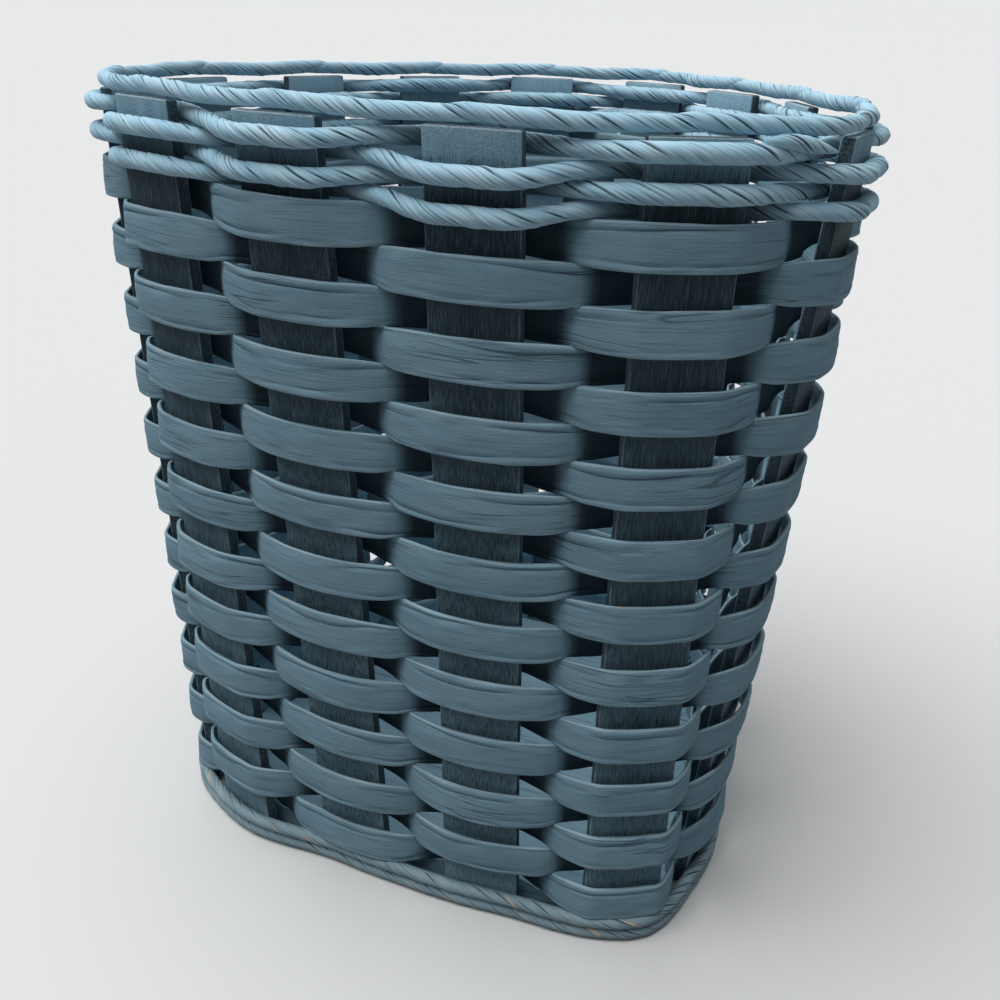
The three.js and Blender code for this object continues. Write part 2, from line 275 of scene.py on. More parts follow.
class Shader:
    """Short names for the nodes of one procedural material."""

    def __init__(self, name):
        self.material = bpy.data.materials.new(name)
        self.material.use_nodes = True
        self.tree = self.material.node_tree
        self.surface = self.tree.nodes["Principled BSDF"]

    def put(self, socket, value):
        if isinstance(value, bpy.types.NodeSocket):
            self.tree.links.new(value, socket)
        else:
            socket.default_value = value

    def coordinates(self, kind, scale):
        source = self.tree.nodes.new("ShaderNodeTexCoord")
        mapping = self.tree.nodes.new("ShaderNodeMapping")
        mapping.inputs["Scale"].default_value = scale
        self.tree.links.new(source.outputs[kind], mapping.inputs["Vector"])
        return mapping.outputs["Vector"]

    def noise(self, vector, detail=4.0, roughness=0.55, distortion=0.0):
        node = self.tree.nodes.new("ShaderNodeTexNoise")
        self.tree.links.new(vector, node.inputs["Vector"])
        node.inputs["Scale"].default_value = 1.0
        node.inputs["Detail"].default_value = detail
        node.inputs["Roughness"].default_value = roughness
        node.inputs["Distortion"].default_value = distortion
        return node.outputs["Fac"]

    def attribute(self, name):
        node = self.tree.nodes.new("ShaderNodeAttribute")
        node.attribute_name = name
        return node.outputs["Fac"]

    def curve(self, value, *stops):
        """A value through straight stretches: each stop is (input, output)."""
        node = self.tree.nodes.new("ShaderNodeValToRGB")
        ramp = node.color_ramp
        for spare in range(len(stops) - 2):
            ramp.elements.new(0.5)
        for element, (place, level) in zip(ramp.elements, stops):
            element.position = place
            element.color = (level, level, level, 1)
        self.put(node.inputs["Fac"], value)
        return node.outputs["Color"]

    def math(self, operation, a, b):
        node = self.tree.nodes.new("ShaderNodeMath")
        node.operation = operation
        self.put(node.inputs[0], a)
        self.put(node.inputs[1], b)
        return node.outputs[0]

    def mix(self, factor, a, b, blend="MIX"):
        node = self.tree.nodes.new("ShaderNodeMix")
        node.data_type = "RGBA"
        node.blend_type = blend
        self.put(node.inputs[0], factor)
        self.put(node.inputs[6], a)
        self.put(node.inputs[7], b)
        return node.outputs[2]

    def bump(self, height, strength, distance, normal=None):
        node = self.tree.nodes.new("ShaderNodeBump")
        node.inputs["Strength"].default_value = strength
        node.inputs["Distance"].default_value = distance
        self.put(node.inputs["Height"], height)
        if normal is not None:
            self.put(node.inputs["Normal"], normal)
        return node.outputs["Normal"]

    def finish(self, colour, roughness, normal, specular):
        self.put(self.surface.inputs["Base Color"], colour)
        self.put(self.surface.inputs["Roughness"], roughness)
        self.put(self.surface.inputs["Normal"], normal)
        self.surface.inputs["Specular IOR Level"].default_value = specular
        return self.material


# One paint covers strips, stakes and cords: the cords carry a lighter copy of it, as painted light on their
# tops, and the strips and stakes carry darker copies, as painted shade. The PALE colours vary each copy's
# tone at random.
STRIP_PAINT_SHADED = (0.182, 0.310, 0.392, 1)
STRIP_STREAKS_AND_CREASE_SHADE = (0.075, 0.140, 0.180, 1)
STRIP_PAINT_PALE = (0.240, 0.380, 0.460, 1)
STRIP_CREASE_SHADE = (0.030, 0.058, 0.076, 1)
STRIP_EDGE = (0.38, 0.53, 0.60, 1)
CORD_PAINT_LIT = (0.355, 0.595, 0.745, 1)
# Near black for the dark pleat lines and for the painted shade in the cord's grooves
CORD_DARK_LINES_AND_GROOVE_SHADE = (0.014, 0.030, 0.042, 1)
CORD_PAINT_PALE = (0.50, 0.72, 0.84, 1)
FOOT_PAINT = (0.200, 0.300, 0.350, 1)
FOOT_PAINT_PALE = (0.28, 0.38, 0.42, 1)
STAKE_PAINT_SHADED = (0.170, 0.300, 0.385, 1)
STAKE_PAINT_PALE = (0.235, 0.375, 0.455, 1)
STAKE_PORE = (0.018, 0.034, 0.040, 1)
STAKE_SIDE_DARK = (0.045, 0.070, 0.080, 1)
# Near black painted shade, laid where strips, cords and stakes sit deep in the weave
PAINTED_SHADE = (0.007, 0.017, 0.023, 1)
CHALK = (0.50, 0.62, 0.67, 1)
BARE_FIBRE = (0.50, 0.41, 0.28, 1)
STEEL = (0.52, 0.53, 0.54, 1)


def strip_material():
    """Chalky paint on folded fibre: faint streaks, a few long creases darkened as painted shade, edges
    rubbed pale, and painted shade deep in the weave.
    """
    shader = Shader("painted_fibre")
    broad = shader.noise(shader.coordinates("UV", (18, 70, 1)), detail=3)
    streaks = shader.noise(shader.coordinates("UV", (32, 1700, 1)), detail=4, roughness=0.6)
    creases = shader.noise(shader.coordinates("UV", (8, 210, 1)), detail=2, distortion=0.3)
    creased = shader.noise(shader.coordinates("UV", (16, 60, 1)), detail=1)
    grit = shader.noise(shader.coordinates("UV", (1700, 1700, 1)), detail=2)
    wear = shader.attribute("wear")
    lines = shader.curve(creases, (0.484, 0.0), (0.498, 1.0), (0.502, 1.0), (0.516, 0.0))
    lines = shader.math("MULTIPLY", lines, shader.curve(creased, (0.52, 0.0), (0.64, 1.0)))
    colour = shader.mix(shader.curve(broad, (0.35, 0.0), (0.75, 0.8)), STRIP_PAINT_SHADED, STRIP_PAINT_PALE)
    colour = shader.mix(shader.curve(streaks, (0.30, 0.5), (0.47, 0.0)), colour, STRIP_STREAKS_AND_CREASE_SHADE)
    # Painted shade along the crease lines
    colour = shader.mix(shader.math("MULTIPLY", lines, 0.75), colour, STRIP_STREAKS_AND_CREASE_SHADE)
    rubbed = shader.math("MULTIPLY", wear, shader.curve(streaks, (0.38, 0.15), (0.58, 0.9)))
    colour = shader.mix(rubbed, colour, STRIP_EDGE)
    flecks = shader.noise(shader.coordinates("UV", (140, 700, 1)), detail=3)
    bare = shader.math("MULTIPLY", wear, shader.curve(flecks, (0.66, 0.0), (0.70, 0.8)))
    colour = shader.mix(bare, colour, BARE_FIBRE)
    # Painted shade along the strip's folds
    broken = shader.curve(streaks, (0.35, 1.0), (0.65, 0.35))
    crease = shader.math("MULTIPLY", shader.attribute("crease"), broken)
    colour = shader.mix(shader.curve(crease, (0.15, 0.0), (0.9, 0.8)), colour, STRIP_CREASE_SHADE)
    # Painted shade where the strip lies deep in the weave
    colour = shader.mix(shader.math("MULTIPLY", shader.attribute("recess"), 0.9), colour, PAINTED_SHADE)
    normal = shader.bump(lines, 0.6, -0.5 * MM)
    normal = shader.bump(streaks, 0.35, 0.25 * MM, normal)
    normal = shader.bump(grit, 0.7, 0.3 * MM, normal)
    return shader.finish(colour, shader.curve(streaks, (0.3, 0.9), (0.7, 0.72)), normal, 0.14)


def cord_material(name, paint, pale, bare_share):
    """Painted twisted paper: faint dark pleats follow the lay and bare paper shows in places; the grooves
    of the lay are darkened as painted shade, and shade is painted where the cord passes deep in the weave.
    """
    shader = Shader(name)
    broad = shader.noise(shader.coordinates("UV", (40, 110, 1)), detail=3)
    pleats = shader.noise(shader.coordinates("UV", (26, 1300, 1)), detail=3, roughness=0.55)
    grit = shader.noise(shader.coordinates("UV", (1800, 1800, 1)), detail=2)
    groove = shader.curve(shader.attribute("groove"), (0.18, 0.0), (0.70, 1.0))
    colour = shader.mix(shader.curve(broad, (0.35, 0.0), (0.7, 1.0)), paint, pale)
    colour = shader.mix(shader.curve(pleats, (0.30, 0.7), (0.45, 0.0)), colour, CORD_DARK_LINES_AND_GROOVE_SHADE)
    worn = shader.noise(shader.coordinates("UV", (70, 330, 1)), detail=4)
    bare = shader.curve(worn, (0.74 - bare_share, 0.0), (0.79 - bare_share, 0.85))
    colour = shader.mix(bare, colour, BARE_FIBRE)
    # Painted shade in the grooves of the lay
    colour = shader.mix(shader.math("MULTIPLY", groove, 0.92), colour, CORD_DARK_LINES_AND_GROOVE_SHADE)
    # Painted shade where the cord passes deep in the weave, behind a stake
    colour = shader.mix(shader.math("MULTIPLY", shader.attribute("recess"), 0.8), colour, PAINTED_SHADE)
    normal = shader.bump(pleats, 0.5, 0.35 * MM)
    normal = shader.bump(grit, 0.2, 0.1 * MM, normal)
    return shader.finish(colour, shader.curve(pleats, (0.3, 0.8), (0.7, 0.6)), normal, 0.3)


def stake_material():
    """Paint on open-grained wood: fine pores run up the board and its narrow sides are darker and rough.
    Shade is painted on the outer face where the weave covers it, and the inner faces are painted lighter,
    as painted light.
    """
    shader = Shader("painted_wood")
    grain = shader.noise(shader.coordinates("Object", (2900, 2900, 80)), detail=3, roughness=0.6)
    figure = shader.noise(shader.coordinates("Object", (170, 170, 9)), detail=4)
    grit = shader.noise(shader.coordinates("Object", (1300, 1300, 1300)), detail=3)
    # The pores show fully where shade is painted and faintly on the lit top and the inner faces
    pore_strength = shader.curve(shader.attribute("recess"), (0.0, 0.25), (0.2, 1.0))
    pores = shader.math("MULTIPLY", shader.curve(grain, (0.36, 1.0), (0.50, 0.0)), pore_strength)
    ridges = shader.curve(grain, (0.54, 0.0), (0.68, 1.0))
    colour = shader.mix(shader.curve(figure, (0.3, 0.0), (0.7, 1.0)), STAKE_PAINT_SHADED, STAKE_PAINT_PALE)
    # Painted light: the inner faces take the lighter cord paint
    colour = shader.mix(shader.math("MULTIPLY", shader.attribute("inner"), 0.8), colour, CORD_PAINT_LIT)
    # Painted shade on the outer face where the weave covers it
    colour = shader.mix(shader.attribute("recess"), colour, PAINTED_SHADE)
    colour = shader.mix(shader.math("MULTIPLY", pores, 0.7), colour, STAKE_PORE)
    colour = shader.mix(shader.math("MULTIPLY", ridges, 0.3), colour, STAKE_PAINT_PALE)
    # The narrow sides are darker
    dark_side = shader.math("MULTIPLY", shader.attribute("dark_side"), shader.curve(grit, (0.35, 1.0), (0.7, 0.55)))
    colour = shader.mix(dark_side, colour, STAKE_SIDE_DARK)
    rubbed = shader.math("MULTIPLY", shader.attribute("wear"), shader.curve(grit, (0.35, 0.25), (0.6, 1.0)))
    colour = shader.mix(rubbed, colour, CHALK)
    normal = shader.bump(pores, 0.5, -0.35 * MM)
    normal = shader.bump(grit, 0.8, 0.45 * MM, normal)
    return shader.finish(colour, shader.curve(figure, (0.3, 0.85), (0.7, 0.7)), normal, 0.2)


def base_material():
    """Thin paint brushed over a board, its grain running side to side."""
    shader = Shader("painted_board")
    grain = shader.noise(shader.coordinates("Object", (12, 420, 420)), detail=4, roughness=0.6)
    brush = shader.noise(shader.coordinates("Object", (9, 90, 90)), detail=3)
    colour = shader.mix(shader.curve(brush, (0.3, 0.0), (0.7, 1.0)), STAKE_PAINT_SHADED, STAKE_PAINT_PALE)
    colour = shader.mix(shader.curve(grain, (0.3, 0.7), (0.45, 0.0)), colour, STAKE_PORE)
    normal = shader.bump(grain, 0.5, 0.3 * MM)
    return shader.finish(colour, shader.curve(brush, (0.3, 0.85), (0.7, 0.7)), normal, 0.25)


def steel_material():
    """Bright drawn wire, dulled in patches."""
    shader = Shader("brad_steel")
    dull = shader.noise(shader.coordinates("Object", (900, 900, 900)), detail=3)
    shade = shader.curve(dull, (0.3, 0.6), (0.7, 1.0))
    colour = shader.mix(1.0, STEEL, shade, "MULTIPLY")
    shader.surface.inputs["Metallic"].default_value = 1.0
    roughness = shader.curve(dull, (0.3, 0.5), (0.7, 0.3))
    return shader.finish(colour, roughness, shader.bump(dull, 0.2, 0.1 * MM), 0.5)


# Flat strips

def strip_controls(row, z, height):
    """Control rows of one strip: x, y, z, height, tilt and how far it is inside the wall."""
    near = STRIP_CLEARANCE + STRIP_THICKNESS / 2
    edge = HALF_WIDTH - STRIP_STAKE_INSET
    controls = []
    for index in range(STAKE_COUNT):
        stake = stake_at(index)
        outside = passes_outside(row, index)
        side = 1.0 if outside else -1.0
        face = 0.0 if outside else -WALL
        inside = 0.0 if outside else 1.0
        tall = height + STRIP_SPREAD * side
        bow = STRIP_BOW + random.uniform(-1, 1) * STRIP_UNEVEN_BOW
        lift = random.uniform(-1, 1) * STRIP_UNEVEN_LIFT
        tilt = random.uniform(-1, 1) * STRIP_UNEVEN_TILT
        for across, share in STRIP_BOW_SHARES:
            place = stake.point(across * edge, face + side * (near + share * bow), z + lift)
            controls.append([*place, tall, tilt, inside])
        leaving = -WALL / 2 + side * (WALL / 2 + STRIP_TURN_OFF)
        arriving = -WALL / 2 - side * (WALL / 2 + STRIP_TURN_OFF)
        low = height - STRIP_CROSSING_SHRINK
        shares = [STRIP_TURN_SHARE, STRIP_CROSSING_SHARE, STRIP_BEHIND_SHARE]
        if not outside:
            shares = [1 - share for share in reversed(shares)]
        controls.append([*gap_point(index, shares[0], leaving, z), height, 0.0, inside])
        controls.append([*gap_point(index, shares[1], -WALL / 2, z), low, 0.0, 0.5])
        controls.append([*gap_point(index, shares[2], arriving, z), height, 0.0, 1 - inside])
    return controls


# Painted shade in the weave: how much the inner faces take, and where along a piece it starts and fades
INNER_PAINTED_SHADE = 0.3
SHADE_OUTER_FROM = 0.40
SHADE_INNER_FROM = 0.60
SHADE_FADE = 0.45


def painted_shade_marks(inside, outward):
    """How much shade is painted on each point for its depth in the weave: outer faces when inside the wall,
    inner faces when outside.
    """
    outer = ((inside - SHADE_OUTER_FROM) / SHADE_FADE).clip(0, 1)
    inner = ((SHADE_INNER_FROM - inside) / SHADE_FADE).clip(0, 1) * INNER_PAINTED_SHADE
    return outer[:, None] * outward + inner[:, None] * (1 - outward)


# Lines along a strip from its lower edge to its upper edge; None marks the lines of a crease, which wander
STRIP_COLUMNS = (-1, -0.93, None, None, None, -0.48, -0.24, 0, 0.22, 0.40, None, None, None, 0.92, 1)
LOWER_CREASE = 3
UPPER_CREASE = 11
CREASE_HALF = 0.05
EDGE_LINES = [0, 14, 15, 16, -1, -2]
NEAR_EDGE_LINES = [1, 13]
NEAR_EDGE_WEAR = 0.2
FOLD_WAVES = (0.05, 0.2)
RIPPLE_WAVES = (0.014, 0.07)
LIP_WAVES = (0.04, 0.2)
LOWER_FOLD = 0.35 * MM
UPPER_FOLD_IN = 0.55 * MM
UPPER_FOLD_OUT = 0.30 * MM
UPPER_EDGE_ROLL = np.array([0.10, 0.40]) * MM
RIPPLE = 0.10 * MM
FOOT_LIP = 0.3 * MM
# Where the edges and the back lie across the unrolled sheet, in half heights
TOP_EDGE_ACROSS = 1.06
BACK_ACROSS = 2.1
FOOT_EDGE_ACROSS = 3.2


def strip_columns(length, places):
    """Where the lines along a strip run, from its lower edge at -1 to its upper edge at 1."""
    columns = np.zeros((len(places), len(STRIP_COLUMNS)))
    for number, level in enumerate(STRIP_COLUMNS):
        columns[:, number] = 0.0 if level is None else level
    lower = (-0.72 + 0.09 * wander(length, places, *FOLD_WAVES)).clip(-0.84, -0.58)
    upper = (0.63 + 0.16 * wander(length, places, *FOLD_WAVES)).clip(0.47, 0.83)
    for offset in (-1, 0, 1):
        columns[:, LOWER_CREASE + offset] = lower + CREASE_HALF * offset
        columns[:, UPPER_CREASE + offset] = upper + CREASE_HALF * offset
    return columns


def strip_piece(row, material):
    """One woven strip: a thin sheet with a fold near each edge that comes and goes along it."""
    name = "flat_weaver_%02d" % (row + 1)
    low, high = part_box(name)
    controls = strip_controls(row, (low.z + high.z) / 2, high.z - low.z)
    rows, places, length = smooth_path(controls, STRIP_STEP, True)
    out, up = path_frames(rows, True)
    columns = strip_columns(length, places)
    upper_fold = (0.32 + 0.6 * wander(length, places, *FOLD_WAVES)).clip(0, 1)[:, None]
    lower_fold = (0.15 + 0.6 * wander(length, places, *FOLD_WAVES)).clip(0, 1)[:, None]
    folded = np.zeros_like(columns)
    folded[:, :LOWER_CREASE] += LOWER_FOLD * lower_fold
    folded[:, LOWER_CREASE:LOWER_CREASE + 1] -= LOWER_FOLD * lower_fold
    folded[:, UPPER_CREASE:UPPER_CREASE + 1] -= UPPER_FOLD_IN * upper_fold
    folded[:, UPPER_CREASE + 1:] += UPPER_FOLD_OUT * upper_fold
    folded[:, -2:] -= UPPER_EDGE_ROLL * upper_fold
    ripple = np.stack([wander(length, places, *RIPPLE_WAVES) for column in columns.T], axis=1)
    outer = STRIP_CURL * columns ** 2 + folded + RIPPLE * ripple
    half = rows[:, 3:4] / 2
    lip = (0.1 - 0.5 * wander(length, places, *LIP_WAVES)).clip(-0.7, 0.3)[:, None] * MM
    middle = STRIP_THICKNESS / 2
    back = outer[:, ::-2] - STRIP_THICKNESS
    outs = np.concatenate([outer, outer[:, -1:] - middle, back, outer[:, :1] - middle], axis=1)
    ups = np.concatenate([columns * half, half + lip, columns[:, ::-2] * half, -half - FOOT_LIP], axis=1)
    across = outs + rows[:, 4:5] * ups
    sections = rows[:, None, :3] + across[:, :, None] * out[:, None] + ups[:, :, None] * up[:, None]
    wear = np.zeros(outs.shape)
    wear[:, EDGE_LINES] = 1.0
    wear[:, NEAR_EDGE_LINES] = NEAR_EDGE_WEAR
    # Where shade is painted along the folds
    crease = np.zeros(outs.shape)
    crease[:, UPPER_CREASE:UPPER_CREASE + 1] = upper_fold
    crease[:, LOWER_CREASE:LOWER_CREASE + 1] = lower_fold
    back_across = BACK_ACROSS - columns[0, ::-2]
    around = np.concatenate([columns[0], [TOP_EDGE_ACROSS], back_across, [FOOT_EDGE_ACROSS]]) * half[0]
    skin = Skin()
    # Painted shade: on the outer face where the strip is inside the wall, on the inner face where it is
    # outside
    outward = np.concatenate([np.ones(len(STRIP_COLUMNS)), [0.5], np.zeros(back.shape[1]), [0.5]])
    recess = painted_shade_marks(rows[:, 5], outward[None, :])
    skin.add(sections, places, length, around, True, wear=wear, recess=recess, crease=crease)
    shift = (STRIP_UV_STEP[0] * row, STRIP_UV_STEP[1] * row)
    piece = skin.build(name.replace("flat_weaver", "strip"), material, shift)
    hand_over(piece, "flat_fibre", name)


# Twisted cords

GROOVE_WAVES = (0.02, 0.08)
PLEAT_WAVES = (0.008, 0.04)


def cord_sections(rows, places, length, closed):
    """Rings of a twisted cord; rows hold x, y, z, half width, half height and how far inside the wall."""
    out, up = path_frames(rows, closed)
    turns = round(length / CORD_LAY)
    base = np.arange(CORD_COLUMNS) * 2 * math.pi / CORD_COLUMNS
    angles = base[None, :] - 2 * math.pi * turns * (places / length)[:, None]
    swell = np.ones((len(rows), CORD_COLUMNS))
    groove = np.zeros((len(rows), CORD_COLUMNS))
    stops = CORD_GROOVES[1:] + (CORD_COLUMNS,)
    for start, stop, strength in zip(CORD_GROOVES, stops, CORD_GROOVE_STRENGTHS):
        depth = strength * (0.45 + 0.9 * wander(length, places, *GROOVE_WAVES)).clip(0.0, 1)
        middle = np.arange(start, stop)
        pillow = np.sin(math.pi * (middle - start) / (stop - start))
        swell[:, start:stop] += CORD_PILLOW * pillow * depth[:, None]
        swell[:, start] -= CORD_GROOVE_DEPTH * depth
        groove[:, start] = depth
        groove[:, start + 1] = 0.5 * depth
    for column in range(CORD_COLUMNS):
        swell[:, column] += CORD_ROUGHNESS * wander(length, places, *PLEAT_WAVES)
    width = rows[:, 3:4] * swell * np.cos(angles)
    height = rows[:, 4:5] * swell * np.sin(angles)
    sections = rows[:, None, :3] + width[:, :, None] * out[:, None] + height[:, :, None] * up[:, None]
    around = base * rows[:, 3].mean()
    # Painted shade on the outer half of the cord where it runs inside the wall
    recess = painted_shade_marks(rows[:, 5], (0.5 + np.cos(angles)).clip(0, 1))
    return sections, around, {"groove": groove, "recess": recess}


# How far a woven cord rises or sags over each of the four front stakes
CORD_DIPS = {0: 1.0 * MM, 1: -1.9 * MM, 2: -2.8 * MM, 3: 0.4 * MM}
UNEVEN_OUTSIDE = 1.0 * MM
UNEVEN_INSIDE = 0.5 * MM

TAIL_ROW = 3
TAIL_STAKE = 3
TAIL_INSIDE = 0.3
# Share of the gap, then millimetres outward, upward and half thick
TAIL_ROUTE = ((0.06, 2.0, 3.4, 1.0), (0.28, 2.6, 3.4, 2.0), (0.50, 2.4, 2.2, 2.0), (0.76, 1.6, 0.4, 0.5))


def add_tail(skin, z):
    """The top cord's loose end, pointing along the gap beyond the front's last stake."""
    controls = []
    for share, v, rise, radius in TAIL_ROUTE:
        place = gap_point(TAIL_STAKE, share, v * MM, z + rise * MM)
        controls.append([*place, radius * MM, radius * MM, TAIL_INSIDE])
    rows, places, length = smooth_path(controls, CORD_STEP, False)
    sections, around, marks = cord_sections(rows, places, length, False)
    skin.add(sections, places, length, around, False, **marks)


def woven_cord_piece(row, material):
    """A woven cord, a little higher or lower over each stake than its row."""
    name = "cord_weaver_%d" % (row + 1)
    z = middle_height(name)
    controls = []
    for index in range(STAKE_COUNT):
        stake = stake_at(index)
        outside = passes_outside(STRIP_COUNT + row, index)
        off = CORD_RADIUS + CORD_CLEARANCE
        v = off if outside else -WALL - off
        uneven = random.uniform(-1, 1)
        dip = CORD_DIPS.get(index, uneven * UNEVEN_OUTSIDE) if outside else uneven * UNEVEN_INSIDE
        edge = HALF_WIDTH - CORD_STAKE_INSET
        for u, bow in ((-edge, 0.0), (0.0, CORD_BOW), (edge, 0.0)):
            place = stake.point(u, v + (bow if outside else -bow), z + dip)
            controls.append([*place, CORD_RADIUS, CORD_RADIUS, 0.0 if outside else 1.0])
        crossing = gap_point(index, 0.5, -WALL / 2, z)
        controls.append([*crossing, CORD_RADIUS, CORD_CROSSING_RADIUS, 0.5])
    rows, places, length = smooth_path(controls, CORD_STEP, True)
    sections, around, marks = cord_sections(rows, places, length, True)
    skin = Skin()
    skin.add(sections, places, length, around, True, **marks)
    if row == TAIL_ROW:
        add_tail(skin, z)
    shift = (CORD_UV_STEP[0] * row + CORD_UV_START, CORD_UV_STEP[1] * row)
    piece = skin.build("woven_cord_%d" % (row + 1), material, shift)
    hand_over(piece, "paper_cord", name)


RIM_OVERLAP = 7 * MM
RIM_RISE = 1.1 * MM
RIM_LIFT = 0.3 * MM
RIM_UV_STEP = 0.3
RIM_UV_SHIFT = (60, 0.5)
# One lobe: place, rise, half width and half height. Places count in overlaps from a stake's middle at the
# start and the end, and as a share of the gap between; the rest count in RIM_RISE and RIM_RADIUS.
RIM_START = ((-1.0, 1.3, 0.35, 0.35), (-0.4, 1.0, 0.86, 0.80), (0.7, 0.35, 1.0, 1.0))
RIM_SPAN = ((0.1, 0.0, 1.05, 1.05), (0.5, -0.4, 1.05, 1.05), (0.9, -0.2, 1.0, 1.0))
RIM_END = ((-0.5, 0.0, 0.95, 0.92), (0.4, -0.1, 0.80, 0.75), (1.4, -0.2, 0.30, 0.30))


def rim_piece(material):
    """The rim cord lies in lobes, each starting on top of the one before it over a stake."""
    base_z = middle_height("rim_cord") + RIM_LIFT
    v = -WALL / 2
    skin = Skin()
    for index in range(STAKE_COUNT):
        controls = []
        for part, route in enumerate((RIM_START, RIM_SPAN, RIM_END)):
            for along, rise, width, height in route:
                z = base_z + rise * RIM_RISE
                if route is RIM_SPAN:
                    place = gap_point(index, along, v, z)
                else:
                    place = stake_at(index + part // 2).point(along * RIM_OVERLAP, v, z)
                controls.append([*place, width * RIM_RADIUS, height * RIM_RADIUS, 0.5])
        rows, places, length = smooth_path(controls, CORD_STEP, False)
        sections, around, marks = cord_sections(rows, places, length, False)
        # The rim cord takes no painted shade
        marks["recess"] *= 0
        start = RIM_UV_STEP * index
        skin.add(sections, places + start, length + start, around, False, **marks)
    piece = skin.build("rim_cord_twisted", material, RIM_UV_SHIFT)
    hand_over(piece, "paper_cord", "rim_cord")


CLIMB_STAKE = 9
FOOT_LOW_SHARE = 1.12
FOOT_CLEARANCE = 0.35 * MM
FOOT_STAKE_INSET = 3 * MM
FOOT_END_INSET = 8 * MM
FOOT_CLIMB_START = 0.4 * MM
FOOT_UV_SHIFT = (80, 0.9)


def foot_piece(material):
    """One cord wound twice round the foot; it starts and ends at the back and climbs in between."""
    low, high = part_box("foot_cord")
    low_z = low.z + FOOT_LOW_SHARE * FOOT_RADIUS
    high_z = high.z - FOOT_RADIUS
    v = FOOT_RADIUS + FOOT_CLEARANCE
    edge = HALF_WIDTH - FOOT_STAKE_INSET
    controls = [[*gap_point(CLIMB_STAKE, 0.6, v, low_z)], [*gap_point(CLIMB_STAKE, 0.85, v, low_z)]]
    for turn, z in enumerate((low_z, high_z)):
        for step in range(1, STAKE_COUNT + 1):
            stake = stake_at(CLIMB_STAKE + step)
            controls.append([*stake.point(-edge, v, z)])
            if step < STAKE_COUNT:
                controls.append([*stake.point(edge, v, z)])
        if turn == 0:
            controls.append([*stake_at(CLIMB_STAKE).point(edge, v, low_z + FOOT_CLIMB_START)])
            controls.append([*gap_point(CLIMB_STAKE, 0.5, v, high_z)])
            controls.append([*gap_point(CLIMB_STAKE, 0.85, v, high_z)])
    controls.append([*stake_at(CLIMB_STAKE).point(HALF_WIDTH - FOOT_END_INSET, v, high_z)])
    controls = [[*place, FOOT_RADIUS, FOOT_RADIUS, 0.0] for place in controls]
    rows, places, length = smooth_path(controls, CORD_STEP, False)
    sections, around, marks = cord_sections(rows, places, length, False)
    skin = Skin()
    skin.add(sections, places, length, around, False, **marks)
    piece = skin.build("foot_cord_twisted", material, FOOT_UV_SHIFT)
    hand_over(piece, "paper_cord", "foot_cord")


# Stakes

def board_ring(half_width, half_thickness, ease):
    """A rounded rectangle in (u, v), anticlockwise seen from above with v outward down the page."""
    ring = []
    for cu, cv, start in ((1, -1, 0.0), (1, 1, 0.5), (-1, 1, 1.0), (-1, -1, 1.5)):
        for step in range(4):
            angle = math.pi * (start - 0.5 + step / 6)
            ring.append((cu * (half_width - ease) + ease * math.cos(angle),
                         cv * (half_thickness - ease) + ease * math.sin(angle)))
    return np.array(ring)


SIDE_POINTS = (3, 4, 11, 12)
CORNER_WEAR = 0.3
# Painted shade on a stake's outer face grows from nothing at the foot towards the top and fades out over
# the open top, where the stake is lit
OPEN_TOP = 8 * MM
TOP_PAINTED_SHADE = 0.92
SHADE_POWER = 0.65
WOBBLE_WAVES = (0.04, 0.3)
NARROW_WAVES = (0.05, 0.4)


